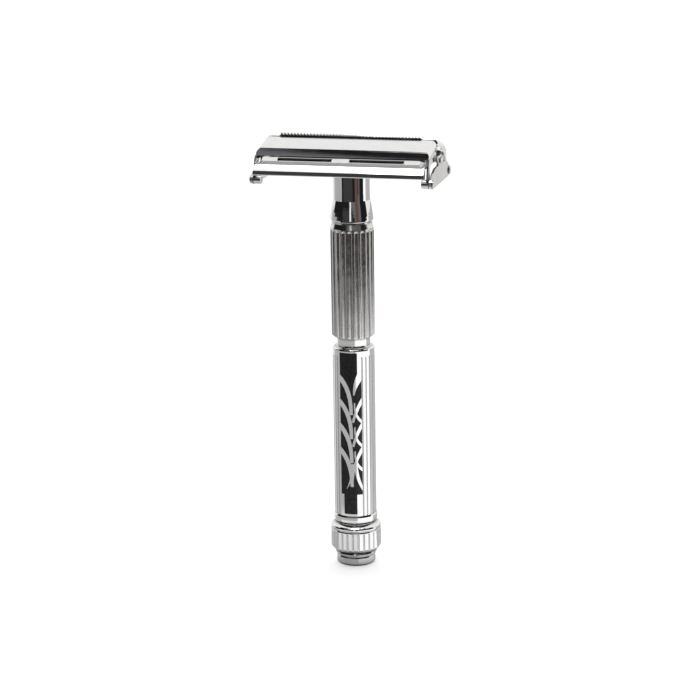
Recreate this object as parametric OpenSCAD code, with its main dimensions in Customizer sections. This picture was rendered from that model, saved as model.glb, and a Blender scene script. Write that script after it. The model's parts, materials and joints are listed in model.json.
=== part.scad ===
// Twist-to-open safety razor for double-edge blades.
// The knob at the foot turns the drive screw, the lift carriage rises out of the handle,
// and the two doors on the carriage swing open over the guard bars.
// Z runs up the handle from the foot, X runs along the head, -Y is the front.

/* [Head] */
// length of the guard bars along X
guard_len = 41; // [40.5:0.1:42]
// depth of the guard over both bars
guard_depth = 27.6; // [27:0.1:28.4]
// length of the guard plate between the notched corners
plate_len = 38.2; // [37:0.1:38.4]
// height of the blade bed above the foot
bed_z = 103.5; // [103.4:0.05:103.6]
// height of the ridge where the doors meet
ridge_z = 107; // [106.8:0.1:107.4]
// thickness of the door sheet
door_wall = 0.65; // [0.5:0.05:0.7]
// thickness of the end plates
end_plate_t = 0.6; // [0.4:0.05:0.8]
// length of the blade spine
spine_len = 34.7; // [30:0.1:35]
// height of the top of the blade spine
spine_top_z = 108.2; // [107.6:0.1:108.8]

/* [Hinge] */
// distance of each door's hinge axis from the centre
hinge_d = 10.1; // [10:0.05:10.2]
// height of the hinge axes
hinge_z = 98.1; // [98:0.05:98.3]
// radius of the hinge pins
pin_r = 0.6; // [0.5:0.05:0.7]
// radius of the knuckles on the doors
knuckle_r = 1.15; // [1.05:0.05:1.2]

/* [Handle] */
// radius of the fluted collar
collar_r = 5.3; // [5.1:0.05:5.4]
// number of flutes round the collar
collar_flutes = 22; // [18:1:24]
// radius of the lower barrel
barrel_r = 5.2; // [5.1:0.05:5.3]
// angle between the fine grooves of the barrel
groove_step = 12; // [12:1:15]
// outer radius of the inner tube
tube_r = 3.5; // [3.4:0.05:3.6]
// radius of the lift rod
rod_r = 1.6; // [1.4:0.05:1.7]

/* [Knob] */
// radius of the knob
knob_r = 6.25; // [6:0.05:6.4]
// number of narrow grooves round the knob
knob_grooves = 28; // [24:1:30]
// radius of the drive screw
screw_r = 1.2; // [1.1:0.05:1.25]

/* [Hidden] */
$fn = 64;
running = 0.1;           // radial clearance of the sliding and turning fits

// Heights up the handle, from the foot.
foot_z = 2.3;            // joint between foot cap and knob
knob_top_z = 10.9;
washer_top_z = 11.1;
barrel_z0 = 13.3;
barrel_z1 = 55.9;
collar_z0 = 58.5;
collar_z1 = 87.1;
neck_z1 = 100.6;         // underside of the guard plate
tube_z0 = 12;
tube_z1 = 95;
tube_bore_r = tube_r - 0.9;
sleeve_r = tube_r + 0.02; // bores of the sleeves on the tube
spigot_r = 2.4;          // spigot of the foot cap in the knob
spigot_h = 1.4;

// Inside the tube.
bush_z0 = 13;
bush_z1 = 16.5;          // top of the screw's bush, just under the collar on the screw
nut_z0 = 30;
nut_z1 = 46;
rod_z0 = 44;             // foot of the lift rod, seated in the nut
guide_z0 = 84;
guide_z1 = 94;

// Inlay on the barrel.
inlay_depth = 0.35;
panel_top_z = 55.1;
vine_top_z = 48.9;
vine_low_z = 20.3;
panel_low_z = 13.9;
vine_pitch = 6.15;

// Head, from the centre outwards.
half_guard = guard_len / 2;
half_plate = plate_len / 2;
flange_x0 = half_guard + 0.15;
flange_t = 0.5;
flange_x1 = flange_x0 + flange_t;
end_x0 = flange_x1 + 0.15;
end_x1 = end_x0 + end_plate_t;
bar_inner_d = 11.5;
bar_outer_d = guard_depth / 2;
guard_z = 99.7;          // underside of the bars
knurl_d0 = 11.2;         // knurled slope, from its upper to its lower line
knurl_z0 = 102.75;
knurl_d1 = 12.4;
knurl_z1 = 102.1;
edge_d = 9.56;           // outer edge of a closed door
edge_z = bed_z + 0.25;
seam_d = 0.95;           // inner edge of a closed door
spine_half = 0.8;
knurl_pitch = 0.8;
tenon_half = 1.3;        // tenon of the centre bar in the end plates
tenon_z = 101.8;
tenon_h = 1.0;

chrome = [0.82, 0.83, 0.84];
satin = [0.66, 0.66, 0.65];
enamel = [0.07, 0.07, 0.08];
brass = [0.78, 0.62, 0.32];
steel = [0.60, 0.61, 0.63];

// ---- helpers -------------------------------------------------------------------------

// Points of an arc about (x, y).
function arc(x, y, r, a0, a1, n = 8) =
  [for (i = [0:n]) let (a = a0 + (a1 - a0) * i / n) [x + r * cos(a), y + r * sin(a)]];

// Points of a curve from p to q that leans towards c.
function bend(p, c, q, n = 8) =
  [for (i = [0:n]) let (t = i / n) (1 - t) * (1 - t) * p + 2 * t * (1 - t) * c + t * t * q];

// A ring or disc on the Z axis.
module ring(r_out, r_in, z0, z1) {
  difference() {
    translate([0, 0, z0]) cylinder(r = r_out, h = z1 - z0);
    if (r_in > 0) translate([0, 0, z0 - 1]) cylinder(r = r_in, h = z1 - z0 + 2);
  }
}

// Extrudes an outline drawn as (depth, height) along X between x0 and x1; front is +depth.
module along_x(x0, x1) {
  translate([x0, 0, 0]) rotate([0, 0, 90]) rotate([90, 0, 0])
    mirror([1, 0, 0]) linear_extrude(height = x1 - x0) children();
}

// Extrudes an outline drawn as (x, height) along Y between y0 and y1.
module along_y(y0, y1) {
  translate([0, y1, 0]) rotate([90, 0, 0]) linear_extrude(height = y1 - y0) children();
}

// A copy for the back of the razor.
module to_back() {
  rotate([0, 0, 180]) children();
}

module both_ends() {
  children();
  mirror([1, 0, 0]) children();
}

// ---- guard ---------------------------------------------------------------------------

// Half outline of the guard: bed, drained slope, knurled slope and bar.
module guard_half_outline() {
  polygon(concat(
    [[0, neck_z1], [bar_inner_d - 0.6, neck_z1], [bar_inner_d - 0.1, guard_z]],
    arc(bar_outer_d - 0.25, guard_z + 0.25, 0.25, -90, 0, 4),
    bend([bar_outer_d, guard_z + 1.15], [bar_outer_d - 0.65, knurl_z1 - 0.6], [knurl_d1, knurl_z1], 4),
    [[knurl_d0, knurl_z0], [9.7, bed_z], [8.4, bed_z], [7.8, bed_z - 0.3], [0, bed_z - 0.3]]));
}

// Diagonal grooves on the slope above the bar.
module guard_knurl() {
  slope = atan2(knurl_z0 - knurl_z1, knurl_d1 - knurl_d0);
  count = floor(guard_len / knurl_pitch);
  for (i = [0:count - 1])
    translate([(i + 0.5 - count / 2) * knurl_pitch, -(knurl_d0 + knurl_d1) / 2,
      (knurl_z0 + knurl_z1) / 2])
      rotate([slope, 0, 0]) rotate([0, 0, -35]) rotate([0, 45, 0])
        cube([0.26, 1.9, 0.26], center = true);
}

// Long drain slots in the slope under each blade edge.
module drain_slots() {
  slot_x = 8.7;
  slot_d = 10.4;
  for (side = [-1, 1])
    translate([side * slot_x, -slot_d, 101]) cube([13.2, 1.1, 6], center = true);
}

module guard_side() {
  difference() {
    along_x(-half_guard, half_guard) guard_half_outline();
    both_ends() translate([half_plate, -bar_inner_d, 90]) cube([5, bar_inner_d + 1, 20]);
    guard_knurl();
    drain_slots();
  }
}

module guard_plate() {
  color(chrome) difference() {
    union() {
      guard_side();
      to_back() guard_side();
    }
    translate([0, 0, 90]) cylinder(r = rod_r + running, h = 20);
  }
}

// ---- handle --------------------------------------------------------------------------

module neck_ferrule() {
  color(chrome) rotate_extrude() polygon(concat(
    [[sleeve_r, collar_z1], [5.1, collar_z1], [5.3, collar_z1 + 0.2]],
    bend([5.3, collar_z1 + 0.5], [5.0, 90.4], [4.55, 92.2], 6),
    [[4.5, 94], [4.5, neck_z1], [tube_bore_r, neck_z1], [tube_bore_r, tube_z1 + 0.02],
     [sleeve_r, tube_z1 + 0.02]]));
}

module fluted_collar() {
  flute_r = 0.72;
  flute_axis = collar_r + 0.32;
  color(satin) difference() {
    rotate_extrude() polygon(concat(
      [[sleeve_r, collar_z0], [collar_r - 0.5, collar_z0]],
      arc(collar_r - 0.5, collar_z0 + 0.5, 0.5, -90, 0, 5),
      [[collar_r, 85.4], [4.94, 86.6], [4.94, collar_z1], [sleeve_r, collar_z1]]));
    for (i = [0:collar_flutes - 1]) rotate([0, 0, i * 360 / collar_flutes])
      translate([flute_axis, 0, 0]) {
        translate([0, 0, collar_z0 - 1]) cylinder(r = flute_r, h = 84.6 - collar_z0 + 1);
        translate([0, 0, 84.6]) sphere(r = flute_r, $fn = 32);
      }
  }
}

module spacer_ring() {
  color(chrome) rotate_extrude() polygon(concat(
    [[sleeve_r, barrel_z1], [4.55, barrel_z1]],
    bend([4.55, barrel_z1], [4.16, barrel_z1], [4.16, barrel_z1 + 0.6], 4),
    [[4.16, collar_z0], [sleeve_r, collar_z0]]));
}

// A tapering band from p to q that leans towards c; w0 and w1 are its end widths.
module stroke(p, c, q, w0, w1) {
  n = 7;
  mid = bend(p, c, q, n);
  side = [for (i = [0:n])
    let (d = mid[min(i + 1, n)] - mid[max(i - 1, 0)], w = w0 + (w1 - w0) * i / n)
    [-d[1], d[0]] / norm(d) * w / 2];
  polygon(concat([for (i = [0:n]) mid[i] + side[i]], [for (i = [n:-1:0]) mid[i] - side[i]]));
}

// Long band that runs from the left edge down into the stem.
module vine_band() {
  stroke([-3.1, 0.35], [0.5, -2.0], [0.45, -9.4], 1.35, 0.8);
}

// One repeat of the vine: a long band from the left into the stem, and two that cross
// on the right. Its origin is where the long band leaves the left edge.
module vine_repeat() {
  vine_band();
  stroke([3.3, 0.9], [1.5, -2.2], [0.85, -5.2], 0.85, 0.55);
  stroke([1.3, -0.2], [1.1, -3.6], [3.2, -5.3], 0.3, 0.7);
}

// First repeat, where the head block runs down into the stem, and the tail of the vine.
module vine_ends() {
  translate([0, vine_top_z]) {
    vine_band();
    stroke([3.1, 1.0], [1.3, -1.6], [1.15, -4.4], 1.9, 0.3);
  }
  stroke([0.75, vine_low_z + 6.6], [0.6, vine_low_z + 3], [-0.9, vine_low_z + 0.2], 0.9, 0.1);
  stroke([0.8, vine_low_z + 6.6], [0.8, vine_low_z + 3], [0.4, vine_low_z + 0.6], 0.9, 0.1);
  stroke([1.3, vine_low_z + 6.6], [1.6, vine_low_z + 3], [3.1, vine_low_z - 0.2], 1.0, 0.5);
}

// Outline of an inlay seen from the front: a head block, the vine field with the vine
// left standing in it, and a foot block.
module inlay_outline() {
  difference() {
    translate([-2.4, panel_low_z]) {
      translate([0.75, 0]) square([3.3, vine_low_z - panel_low_z]);
      translate([0, 5.1]) square([5.3, vine_top_z - panel_low_z - 5.1]);
      translate([0, 20]) square([4.4, panel_top_z - panel_low_z - 20]);
    }
    for (i = [1:3]) translate([0, vine_top_z - i * vine_pitch]) vine_repeat();
    vine_ends();
  }
}

// The inlay's outline laid on the barrel, between two radii.
module inlay_shape(r_in, r_out) {
  intersection() {
    along_y(-r_out - 1, -2) inlay_outline();
    ring(r_out, r_in, panel_low_z - 1, panel_top_z + 1);
  }
}

module barrel_grooves() {
  groove_r = 0.2;
  for (a = [36:groove_step:144], side = [0, 180])
    rotate([0, 0, a + side - 90]) translate([barrel_r + 0.04, 0, barrel_z0 - 1])
      cylinder(r = groove_r, h = 55 - barrel_z0, $fn = 24);
}

module lower_barrel() {
  color(chrome) difference() {
    rotate_extrude() polygon(concat(
      [[sleeve_r, barrel_z0], [barrel_r - 0.05, barrel_z0], [barrel_r, barrel_z0 + 0.05]],
      arc(barrel_r - 0.5, barrel_z1 - 0.5, 0.5, 0, 90, 5),
      [[sleeve_r, barrel_z1]]));
    barrel_grooves();
    inlay_shape(barrel_r - inlay_depth, barrel_r + 1);
    to_back() inlay_shape(barrel_r - inlay_depth, barrel_r + 1);
  }
}

module front_inlay() {
  color(enamel) inlay_shape(barrel_r - inlay_depth, barrel_r - 0.03);
}

module back_inlay() {
  to_back() front_inlay();
}

module end_ferrule() {
  color(chrome) rotate_extrude() polygon(concat(
    [[sleeve_r, 11.2], [5.0, 11.2]],
    bend([5.0, 11.2], [5.45, 11.4], [5.45, 12.3], 4),
    [[5.4, 12.9], [5.2, barrel_z0], [sleeve_r, barrel_z0]]));
}

module inner_tube() {
  color(brass) ring(tube_r, tube_bore_r, tube_z0, tube_z1);
}

module rod_guide() {
  color(brass) ring(tube_bore_r - 0.02, rod_r + running / 2, guide_z0, guide_z1);
}

module screw_bush() {
  color(brass) ring(tube_bore_r - 0.02, 1.5, bush_z0, bush_z1);
}

// ---- knob ----------------------------------------------------------------------------

module knob_body() {
  color(chrome) difference() {
    rotate_extrude() polygon(concat(
      [[0, foot_z], [4.6, foot_z], [4.6, 2.5]],
      arc(4.6, 3.1, 0.6, -90, 60, 5),
      [[5.1, 3.8], [5.7, 3.95], [knob_r - 0.1, 4.5], [knob_r, 4.7], [knob_r, 9],
       [knob_r - 0.25, 9.25], [knob_r - 0.25, 9.4]],
      arc(knob_r - 0.65, 9.85, 0.65, -30, 60, 5),
      [[5.1, knob_top_z], [0, knob_top_z]]));
    for (i = [0:knob_grooves - 1]) rotate([0, 0, (i + 0.5) * 360 / knob_grooves]) {
      translate([knob_r + 0.06, 0, 4.1]) cylinder(r = 0.26, h = 4.75, $fn = 24);
    }
    translate([0, 0, foot_z - 1]) cylinder(r = spigot_r, h = 1 + spigot_h + 0.2);
    translate([0, 0, 3]) cylinder(r = screw_r, h = 10);
  }
}

module knob_foot() {
  color(chrome) {
    rotate_extrude() polygon(concat(
      [[0, 0], [4.2, 0]],
      arc(4.2, 0.6, 0.6, -90, 0, 6),
      [[4.8, 2.0], [4.6, foot_z], [spigot_r, foot_z], [spigot_r, foot_z + spigot_h],
       [0, foot_z + spigot_h]]));
  }
}

module thrust_washer() {
  color(steel) ring(5, 1.6, knob_top_z, washer_top_z);
}

module drive_screw() {
  color(steel) {
    rotate_extrude() polygon([
      [0, 3.9], [screw_r, 3.9], [screw_r, knob_top_z], [1.4, knob_top_z], [1.4, bush_z1 + 0.2],
      [2.3, bush_z1 + 0.2], [2.3, bush_z1 + 1], [screw_r, bush_z1 + 1], [screw_r, 41.4],
      [0.9, 42], [0, 42]]);
  }
}

// ---- lift carriage -------------------------------------------------------------------

module lift_rod() {
  color(steel) ring(rod_r, 0, rod_z0, bed_z + 0.3);
}

module lift_nut() {
  color(brass) difference() {
    ring(tube_bore_r - running, screw_r + running, nut_z0, nut_z1);
    translate([0, 0, rod_z0]) cylinder(r = rod_r, h = 5);
  }
}

// Roof-shaped spine that passes through the slot of the blade, with slanting grooves.
module spine() {
  count = floor(spine_len / knurl_pitch);
  low = bed_z + 1.7;
  eave = spine_top_z - 0.8;
  difference() {
    along_x(-spine_len / 2, spine_len / 2) polygon([[spine_half, low], [spine_half, eave],
      [0, spine_top_z], [-spine_half, eave], [-spine_half, low]]);
    for (side = [-1, 1], i = [0:count - 1])
      translate([(i + 0.5 - count / 2) * knurl_pitch, side * (spine_half - 0.1), spine_top_z - 0.6])
        rotate([side * 18, 0, 0]) rotate([0, side * 35, 0]) rotate([0, 0, 45])
          cube([0.42, 0.42, 2.2], center = true);
  }
}

// Arm at each end that steps down past the guard plate and ends in a tenon.
module bar_arm() {
  along_y(-1.8, 1.8) polygon([[17.5, bed_z + 0.3], [half_plate + 0.3, bed_z + 0.3],
    [half_plate + 0.3, 101.7], [half_guard - 0.1, 101.7], [half_guard - 0.1, bed_z + 0.3],
    [18.6, bed_z + 1.8], [17.5, bed_z + 1.8]]);
  translate([half_guard - 0.2, -tenon_half, tenon_z])
    cube([end_x1 + 0.35 - half_guard + 0.2, 2 * tenon_half, tenon_h]);
}

module center_bar() {
  color(chrome) {
    translate([-18, -2.6, bed_z + 0.3]) cube([36, 5.2, 1.5]);
    spine();
    both_ends() bar_arm();
  }
}

module end_plate_right() {
  color(steel) difference() {
    along_x(end_x0, end_x1) polygon(concat(
      [[-9.6, 96.8], [9.6, 96.8]],
      arc(hinge_d, hinge_z, 1.15, -70, 60, 5),
      [[8.4, 100.4], [6.6, 101.1], [2.3, 101.3], [2.0, 103.1], [-2.0, 103.1],
       [-2.3, 101.3], [-6.6, 101.1], [-8.4, 100.4]],
      arc(-hinge_d, hinge_z, 1.15, 120, 250, 5)));
    translate([end_x0 - 1, -tenon_half, tenon_z]) cube([3, 2 * tenon_half, tenon_h]);
    for (side = [-1, 1])
      translate([end_x0 - 1, side * hinge_d, hinge_z]) rotate([0, 90, 0]) cylinder(r = pin_r, h = 3);
  }
}

module end_plate_left() {
  mirror([1, 0, 0]) end_plate_right();
}

// Four hinge pins with low heads outside the end plates.
module hinge_pins() {
  color(steel) both_ends() for (side = [-1, 1])
    translate([0, side * hinge_d, hinge_z]) rotate([0, 90, 0]) {
      translate([0, 0, half_plate + 0.4]) cylinder(r = pin_r, h = end_x1 - half_plate - 0.4);
      translate([0, 0, end_x1]) cylinder(r = pin_r + 0.3, h = 0.3);
    }
}

// ---- doors ---------------------------------------------------------------------------

// Outside of a door from the seam over the shoulder to its outer edge.
function door_top() = concat(
  [[seam_d, ridge_z - 0.15], [seam_d + 0.15, ridge_z]],
  bend([seam_d + 0.3, ridge_z], [4.5, ridge_z - 0.55], [8.1, ridge_z - 1.5], 4),
  bend([8.22, ridge_z - 1.58], [8.93, ridge_z - 2.35], [edge_d, edge_z], 5));

module door_outline() {
  w = door_wall;
  polygon(concat([[seam_d, ridge_z - w]], door_top(), [[edge_d - 0.8 * w, edge_z]],
    bend([8.1 - 0.6 * w, ridge_z - 1.7 - 0.6 * w], [8.1 - 0.7 * w, ridge_z - 1.6 - 0.7 * w],
      [8.1 - 0.9 * w, ridge_z - 1.4 - 0.75 * w], 3),
    bend([7.9 - 0.9 * w, ridge_z - 1.33 - 0.75 * w], [4.4, ridge_z - 0.5 - w],
      [seam_d + 0.3, ridge_z - w], 4)));
}

module door_filled_outline() {
  polygon(concat([[seam_d, ridge_z - 1.2]], door_top(),
    [[10.4, 102.3], [hinge_d + knuckle_r, hinge_z], [hinge_d - knuckle_r, hinge_z],
     [8.6, 101.6], [6.4, 103.2]]));
}

// Space left by the rounded ends of a door: seen along its sloping top, and from above.
module door_ends(round_z, round_d) {
  x = flange_x1;
  top_slope = 12.35;
  intersection() {
    translate([0, 0, ridge_z + 0.4]) rotate([top_slope, 0, 0]) along_y(-14, 3) polygon(concat(
      [[x, -20]], arc(x - round_z, -round_z, round_z, 0, 90, 6),
      arc(round_z - x, -round_z, round_z, 90, 180, 6), [[-x, -20]]));
    translate([0, 0, 90]) linear_extrude(height = 20) polygon(concat(
      [[x, 0]], arc(x - round_d, round_d - edge_d, round_d, 0, -90, 6),
      arc(round_d - x, round_d - edge_d, round_d, -90, -180, 6), [[-x, 0]]));
  }
}

module door_flange() {
  difference() {
    along_x(flange_x0, flange_x1) door_filled_outline();
    translate([flange_x0 - 1, -seam_d, ridge_z - 4.2]) rotate([24, 0, 0])
      translate([0, -4, -2.5]) cube([4, 6, 3]);
  }
}

module door_front() {
  color(chrome) difference() {
    union() {
      intersection() {
        union() {
          along_x(-flange_x1, flange_x1) door_outline();
          both_ends() door_flange();
        }
        door_ends(1.8, 0.9);
      }
      both_ends() difference() {
        door_flange();
        translate([0, -20, edge_z]) cube([30, 40, 10]);
      }
      both_ends() translate([half_plate + 0.35, -hinge_d, hinge_z]) rotate([0, 90, 0])
        cylinder(r = knuckle_r, h = flange_x1 - half_plate - 0.35);
    }
    translate([-30, -hinge_d, hinge_z]) rotate([0, 90, 0]) cylinder(r = pin_r + 0.05, h = 60);
  }
}

module door_back() {
  to_back() door_front();
}

guard_plate();
neck_ferrule();
fluted_collar();
spacer_ring();
lower_barrel();
front_inlay();
back_inlay();
end_ferrule();
inner_tube();
rod_guide();
screw_bush();
knob_body();
knob_foot();
thrust_washer();
drive_screw();
lift_rod();
lift_nut();
center_bar();
end_plate_right();
end_plate_left();
hinge_pins();
door_front();
door_back();
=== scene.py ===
"""Looks of the twist-to-open safety razor: finishes, studio and camera around the CAD frame.

Metres, Z up the handle, X along the head, front is -Y.
"""

import json
import math

import bpy
from mathutils import Matrix, Vector

MM = 0.001

# Camera, fitted to the photograph's proportions.
CAMERA_DISTANCE = 507.4 * MM  # level distance from the handle's axis
CAMERA_HEIGHT = 188.0 * MM
CAMERA_AZIMUTH = math.radians(13.9)  # from the front towards +X
CAMERA_AIM = math.radians(14.0)  # heading, next to looking at the axis
CAMERA_PITCH = math.radians(14.73)
CAMERA_ROLL = math.radians(0.81)
CAMERA_LENS = 110.2  # for a 36 mm sensor

# Studio.
TABLE_FRONT = 0.27  # how far the table reaches towards the camera
TABLE_FAR = 3.0  # how far it reaches to the sides and behind
FRONT_SECTOR = (-62, 78)  # headings between which its front edge runs, degrees from the camera's
BACKDROP = 0.92  # radiance of the pale backdrop
BACKDROP_TINT = (1, 0.985, 0.965)
OVERHEAD = 1.2  # radiance of the ceiling panel
OVERHEAD_FROM = 71.5  # degrees up where the ceiling panel starts
LEAN = 0.43  # how much a leaning field rises towards its left, per unit of heading

# What the metal sees in front and at the sides, each field laid over the ones before it: limits in
# heading from the camera's and in height, and edge softness, in degrees; radiance, tint, leaning.
STUDIO_FIELDS = (
    (-114, 90, -89, 70.5, 1, 0.012, (1, 1, 1), False),  # dark room
    (-64, 50, 8, 42, 1.5, 0.14, (1, 0.99, 1.03), True),  # grey wall
    (-50, 6, -40, 8, 3, 0.045, (1, 1, 1), False),  # dim floor of the room
    (20, 38, -40, 20, 3, 0.12, (1, 0.62, 0.5), False),  # brown card
    (-12, -4, -4, 24, 1, 1.0, (1, 1, 1), False),  # strip light
)


def node_tree(material):
    material.use_nodes = True
    tree = material.node_tree
    tree.nodes.clear()
    return tree


class Graph:
    """Short names for building a shader out of nodes."""

    def __init__(self, tree):
        self.tree = tree

    def add(self, kind, **settings):
        node = self.tree.nodes.new(kind)
        for key, value in settings.items():
            setattr(node, key, value)
        return node

    def link(self, source, target):
        self.tree.links.new(source, target)

    def put(self, value, socket):
        """Links a socket, or sets a constant."""
        if isinstance(value, bpy.types.NodeSocket):
            self.link(value, socket)
        else:
            socket.default_value = value

    def place(self, stretch=(1, 1, 1)):
        """Object coordinates in metres, stretched."""
        coords = self.add("ShaderNodeTexCoord")
        mapping = self.add("ShaderNodeMapping")
        mapping.inputs["Scale"].default_value = stretch
        self.link(coords.outputs["Object"], mapping.inputs["Vector"])
        return mapping.outputs["Vector"]

    def noise(self, size, stretch=(1, 1, 1), detail=3.0, roughness=0.5):
        """Noise whose features are about size metres across."""
        node = self.add("ShaderNodeTexNoise")
        self.link(self.place(stretch), node.inputs["Vector"])
        node.inputs["Scale"].default_value = 1 / size
        node.inputs["Detail"].default_value = detail
        node.inputs["Roughness"].default_value = roughness
        return node.outputs["Fac"]

    def cells(self, size, stretch=(1, 1, 1)):
        node = self.add("ShaderNodeTexVoronoi")
        self.link(self.place(stretch), node.inputs["Vector"])
        node.inputs["Scale"].default_value = 1 / size
        return node.outputs["Distance"]

    def remap(self, value, low_in, high_in, low_out, high_out):
        node = self.add("ShaderNodeMapRange")
        node.clamp = True
        self.put(value, node.inputs["Value"])
        for name, number in (("From Min", low_in), ("From Max", high_in),
                             ("To Min", low_out), ("To Max", high_out)):
            node.inputs[name].default_value = number
        return node.outputs["Result"]

    def math(self, operation, a, b=0.0, c=0.0):
        node = self.add("ShaderNodeMath", operation=operation)
        for value, socket in zip((a, b, c), node.inputs):
            self.put(value, socket)
        return node.outputs["Value"]

    def mix(self, factor, a, b):
        node = self.add("ShaderNodeMix", data_type="RGBA")
        self.put(factor, node.inputs["Factor"])
        self.put(a, node.inputs[6])
        self.put(b, node.inputs[7])
        return node.outputs[2]

    def heading(self, x, y):
        """Heading of (x, y) about the razor's axis: 0 towards the camera, positive towards +X."""
        sin_a, cos_a = math.sin(CAMERA_AZIMUTH), math.cos(CAMERA_AZIMUTH)
        ahead = self.math("SUBTRACT", self.math("MULTIPLY", x, sin_a), self.math("MULTIPLY", y, cos_a))
        aside = self.math("ADD", self.math("MULTIPLY", x, cos_a), self.math("MULTIPLY", y, sin_a))
        return self.math("ARCTAN2", aside, ahead)

    def window(self, value, low, high, soft):
        """1 where an angle lies between two limits in degrees, with soft edges, otherwise 0."""
        low, high, soft = (math.radians(v) for v in (low, high, soft))
        return self.math("MULTIPLY", self.remap(value, low - soft, low + soft, 0, 1),
                         self.remap(value, high - soft, high + soft, 1, 0))

    def bump(self, height, depth, before=None):
        """Relief of the given depth in metres."""
        node = self.add("ShaderNodeBump")
        node.inputs["Strength"].default_value = 1.0
        node.inputs["Distance"].default_value = depth
        self.link(height, node.inputs["Height"])
        if before is not None:
            self.link(before, node.inputs["Normal"])
        return node.outputs["Normal"]


def rgb(value, tint=(1, 1, 1)):
    return tuple(value * t for t in tint) + (1.0,)


def metal(name, base, tint, rough, smudge, wave, grain_stretch, grain_depth, recess_shade):
    """A bare metal: smudges and hairlines in its gloss, a slow wave and a grain in its surface,
    and painted shade: ambient occlusion darkens its colour in grooves, gaps and between parts."""
    material = bpy.data.materials.new(name)
    g = Graph(node_tree(material))
    shader = g.add("ShaderNodeBsdfPrincipled")
    out = g.add("ShaderNodeOutputMaterial")
    g.link(shader.outputs["BSDF"], out.inputs["Surface"])

    smear = g.noise(4 * MM, detail=4, roughness=0.6)
    hair = g.noise(0.5 * MM, grain_stretch, detail=2)
    gloss = g.math("ADD", g.remap(smear, 0.45, 0.75, rough, rough + smudge),
                   g.remap(hair, 0.6, 0.8, 0.0, smudge * 0.5))
    tone = g.remap(g.noise(2.5 * MM, detail=3), 0.3, 0.7, 0.0, 1.0)
    clean = g.mix(tone, rgb(base * 0.965, tint), rgb(base, tint))
    # Painted shade: ambient occlusion darkens and warms the base colour in grooves, gaps and contact lines
    # between parts.
    occlusion_shade = g.add("ShaderNodeAmbientOcclusion", samples=8)
    occlusion_shade.inputs["Distance"].default_value = 1.0 * MM
    g.put(g.mix(g.remap(occlusion_shade.outputs["AO"], 0.55, 0.96, 0, 1), rgb(base * recess_shade, (1, 0.96, 0.9)), clean),
          shader.inputs["Base Color"])
    shader.inputs["Metallic"].default_value = 1.0
    g.put(gloss, shader.inputs["Roughness"])
    slow = g.bump(g.noise(3 * MM, detail=1), wave)
    g.put(g.bump(hair, grain_depth, slow), shader.inputs["Normal"])
    return material


def enamel(name):
    """Black enamel rubbed into the engraving: a little uneven, finely pitted."""
    material = bpy.data.materials.new(name)
    g = Graph(node_tree(material))
    shader = g.add("ShaderNodeBsdfPrincipled")
    out = g.add("ShaderNodeOutputMaterial")
    g.link(shader.outputs["BSDF"], out.inputs["Surface"])
    cloud = g.noise(0.9 * MM, detail=5, roughness=0.65)
    g.put(g.mix(g.remap(cloud, 0.35, 0.7, 0, 1), rgb(0.012, (1, 0.98, 0.95)),
                rgb(0.034, (1, 1, 1.04))), shader.inputs["Base Color"])
    shader.inputs["Specular IOR Level"].default_value = 0.3
    g.put(g.remap(cloud, 0.3, 0.7, 0.3, 0.5), shader.inputs["Roughness"])
    pits = g.remap(g.cells(0.22 * MM), 0.0, 0.35, 0.0, 1.0)
    g.put(g.bump(pits, 0.006 * MM, g.bump(cloud, 0.03 * MM)), shader.inputs["Normal"])
    return material


# The last number of each metal sets how dark its painted shade in grooves and gaps goes.
MATERIALS = {
    "chrome": metal("polished_chrome", 0.9, (0.99, 0.995, 1.0), 0.035, 0.05,
                    0.004 * MM, (6, 6, 0.6), 0.0006 * MM, 0.2),
    "satin_chrome": metal("satin_chrome", 0.78, (1.0, 0.995, 0.985), 0.14, 0.08,
                          0.004 * MM, (8, 8, 0.4), 0.002 * MM, 0.16),
    "black_enamel": enamel("black_enamel"),
    "brass": metal("turned_brass", 0.82, (1.0, 0.78, 0.42), 0.16, 0.12,
                   0.003 * MM, (0.5, 0.5, 8), 0.003 * MM, 0.3),
    "steel": metal("pressed_steel", 0.78, (1.0, 0.99, 0.975), 0.12, 0.12,
                   0.003 * MM, (1, 6, 1), 0.002 * MM, 0.15),
}


def finish_nodes(frame):
    """Gives each CAD node its finish."""
    slots = {s["node"]: s["material_slot"] for s in frame["record"]["subparts"]}
    for name, obj in frame["nodes"].items():
        obj.data.materials.clear()
        obj.data.materials.append(MATERIALS[slots[name]])


def add_table():
    """Pale table: it ends a little in front of the razor and runs far to the sides and behind."""
    headings = [math.radians(a) for a in range(-180, 180, 2)]
    rim = []
    for heading in headings:
        front = FRONT_SECTOR[0] < math.degrees(heading) < FRONT_SECTOR[1]
        reach = TABLE_FRONT if front else TABLE_FAR
        rim.append((reach * math.sin(CAMERA_AZIMUTH + heading),
                    -reach * math.cos(CAMERA_AZIMUTH + heading), 0))
    count = len(rim)
    faces = [(count, (i + 1) % count, i) for i in range(count)]
    mesh = bpy.data.meshes.new("table")
    mesh.from_pydata(rim + [(0, 0, 0)], [], faces)
    table = bpy.data.objects.new("table", mesh)
    bpy.context.scene.collection.objects.link(table)
    mesh.materials.append(table_paper())


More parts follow.
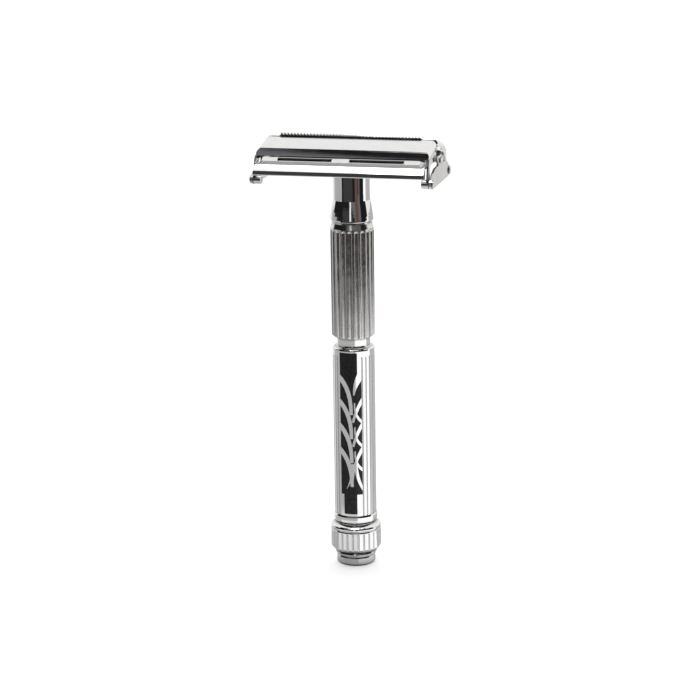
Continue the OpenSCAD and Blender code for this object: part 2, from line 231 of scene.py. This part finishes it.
def table_paper():
    """White paper. The camera sees it plain and overexposed. The metal sees it glow in a pattern:
    a field in front to the right, a ring round the foot to the left, and a dimmer field behind."""
    material = bpy.data.materials.new("table_paper")
    g = Graph(node_tree(material))
    shader = g.add("ShaderNodeBsdfPrincipled")
    out = g.add("ShaderNodeOutputMaterial")
    g.link(shader.outputs["BSDF"], out.inputs["Surface"])
    rays = g.add("ShaderNodeLightPath")
    seen = rays.outputs["Is Camera Ray"]
    tone = g.noise(0.05, detail=3)
    # Painted shade: rays other than the camera's see a darker grey copy of the paper (0.6), while the camera
    # sees it at 0.86 to 0.9.
    g.put(g.mix(seen, rgb(0.6), g.mix(tone, rgb(0.86), rgb(0.9))), shader.inputs["Base Color"])
    g.put(g.remap(tone, 0.3, 0.7, 0.55, 0.65), shader.inputs["Roughness"])
    parts = g.add("ShaderNodeSeparateXYZ")
    g.link(g.place(), parts.inputs["Vector"])
    heading = g.heading(parts.outputs["X"], parts.outputs["Y"])
    distance = g.add("ShaderNodeVectorMath", operation="LENGTH")
    g.link(g.place(), distance.inputs[0])
    away = distance.outputs["Value"]
    front = g.math("MULTIPLY", g.window(heading, 9, 96, 4), g.remap(away, 6 * MM, 18 * MM, 0.05, 0.7))
    near = g.math("MULTIPLY", g.remap(away, 10 * MM, 18 * MM, 0, 0.35), g.remap(away, 40 * MM, 52 * MM, 1, 0))
    front = g.math("ADD", front, g.math("MULTIPLY", g.window(heading, -80, 9, 4), near))
    behind = g.math("MULTIPLY", g.math("SUBTRACT", 1.0, g.window(heading, -130, 152, 8)), 0.4)
    lit = g.math("ADD", g.math("ADD", front, behind), 0.1)
    g.put(g.mix(seen, lit, rgb(0.6)), shader.inputs["Emission Color"])
    shader.inputs["Emission Strength"].default_value = 1.0
    return material


def add_world():
    """Pale studio. The camera sees plain white; the metal also sees the ceiling panel and the
    studio's fields."""
    world = bpy.data.worlds.new("studio")
    bpy.context.scene.world = world
    world.use_nodes = True
    world.node_tree.nodes.clear()
    g = Graph(world.node_tree)
    direction = g.add("ShaderNodeTexCoord").outputs["Generated"]
    parts = g.add("ShaderNodeSeparateXYZ")
    g.link(direction, parts.inputs["Vector"])
    heading = g.heading(parts.outputs["X"], parts.outputs["Y"])
    height = g.math("ARCSINE", parts.outputs["Z"])
    leaning = g.math("ADD", height, g.math("MULTIPLY", heading, LEAN))

    ceiling = g.window(height, OVERHEAD_FROM, 100, 1.5)
    light = g.mix(ceiling, rgb(BACKDROP, BACKDROP_TINT), rgb(OVERHEAD))
    for left, right, bottom, top, soft, radiance, tint, leans in STUDIO_FIELDS:
        across = g.window(heading, left, right, soft)
        upwards = g.window(leaning if leans else height, bottom, top, soft)
        light = g.mix(g.math("MULTIPLY", across, upwards), light, rgb(radiance, tint))
    rays = g.add("ShaderNodeLightPath")
    shown = g.mix(rays.outputs["Is Camera Ray"], light, rgb(1.0))
    background = g.add("ShaderNodeBackground")
    g.link(shown, background.inputs["Color"])
    out = g.add("ShaderNodeOutputWorld")
    g.link(background.outputs["Background"], out.inputs["Surface"])


def add_light(name, place, target, size, watts):
    data = bpy.data.lights.new(name, "AREA")
    data.shape = "RECTANGLE"
    data.size, data.size_y = size
    data.energy = watts
    lamp = bpy.data.objects.new(name, data)
    bpy.context.scene.collection.objects.link(lamp)
    lamp.location = place
    lamp.rotation_euler = (Vector(target) - Vector(place)).to_track_quat("-Z", "Y").to_euler()


def add_camera():
    scene = bpy.context.scene
    data = bpy.data.cameras.new("camera")
    data.lens = CAMERA_LENS
    data.sensor_width = 36
    data.clip_start = 0.01
    camera = bpy.data.objects.new("camera", data)
    scene.collection.objects.link(camera)
    heading = Vector((math.sin(CAMERA_AIM), -math.cos(CAMERA_AIM), 0))
    forward = -heading * math.cos(CAMERA_PITCH) - Vector((0, 0, math.sin(CAMERA_PITCH)))
    right = Vector((math.cos(CAMERA_AIM), math.sin(CAMERA_AIM), 0))
    up = right.cross(forward)
    c, s = math.cos(CAMERA_ROLL), math.sin(CAMERA_ROLL)
    rolled_right = right * c - up * s
    rolled_up = right * s + up * c
    pose = Matrix((rolled_right, rolled_up, -forward)).transposed().to_4x4()
    pose.translation = (CAMERA_DISTANCE * math.sin(CAMERA_AZIMUTH),
                        -CAMERA_DISTANCE * math.cos(CAMERA_AZIMUTH), CAMERA_HEIGHT)
    camera.matrix_world = pose
    scene.camera = camera


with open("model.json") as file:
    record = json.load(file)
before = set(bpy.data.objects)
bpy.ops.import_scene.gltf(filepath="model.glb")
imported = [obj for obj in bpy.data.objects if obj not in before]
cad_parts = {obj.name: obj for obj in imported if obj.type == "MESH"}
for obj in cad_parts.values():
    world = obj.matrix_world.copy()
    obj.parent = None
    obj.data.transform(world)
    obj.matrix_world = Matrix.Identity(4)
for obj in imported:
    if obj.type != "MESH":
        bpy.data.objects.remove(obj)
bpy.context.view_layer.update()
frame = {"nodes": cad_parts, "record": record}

finish_nodes(frame)
add_table()
add_world()
add_light("key", (-0.04, -0.02, 0.8), (0, 0, 0.06), (0.3, 0.3), 1.0)
add_camera()
bpy.context.scene.view_settings.view_transform = "Standard"
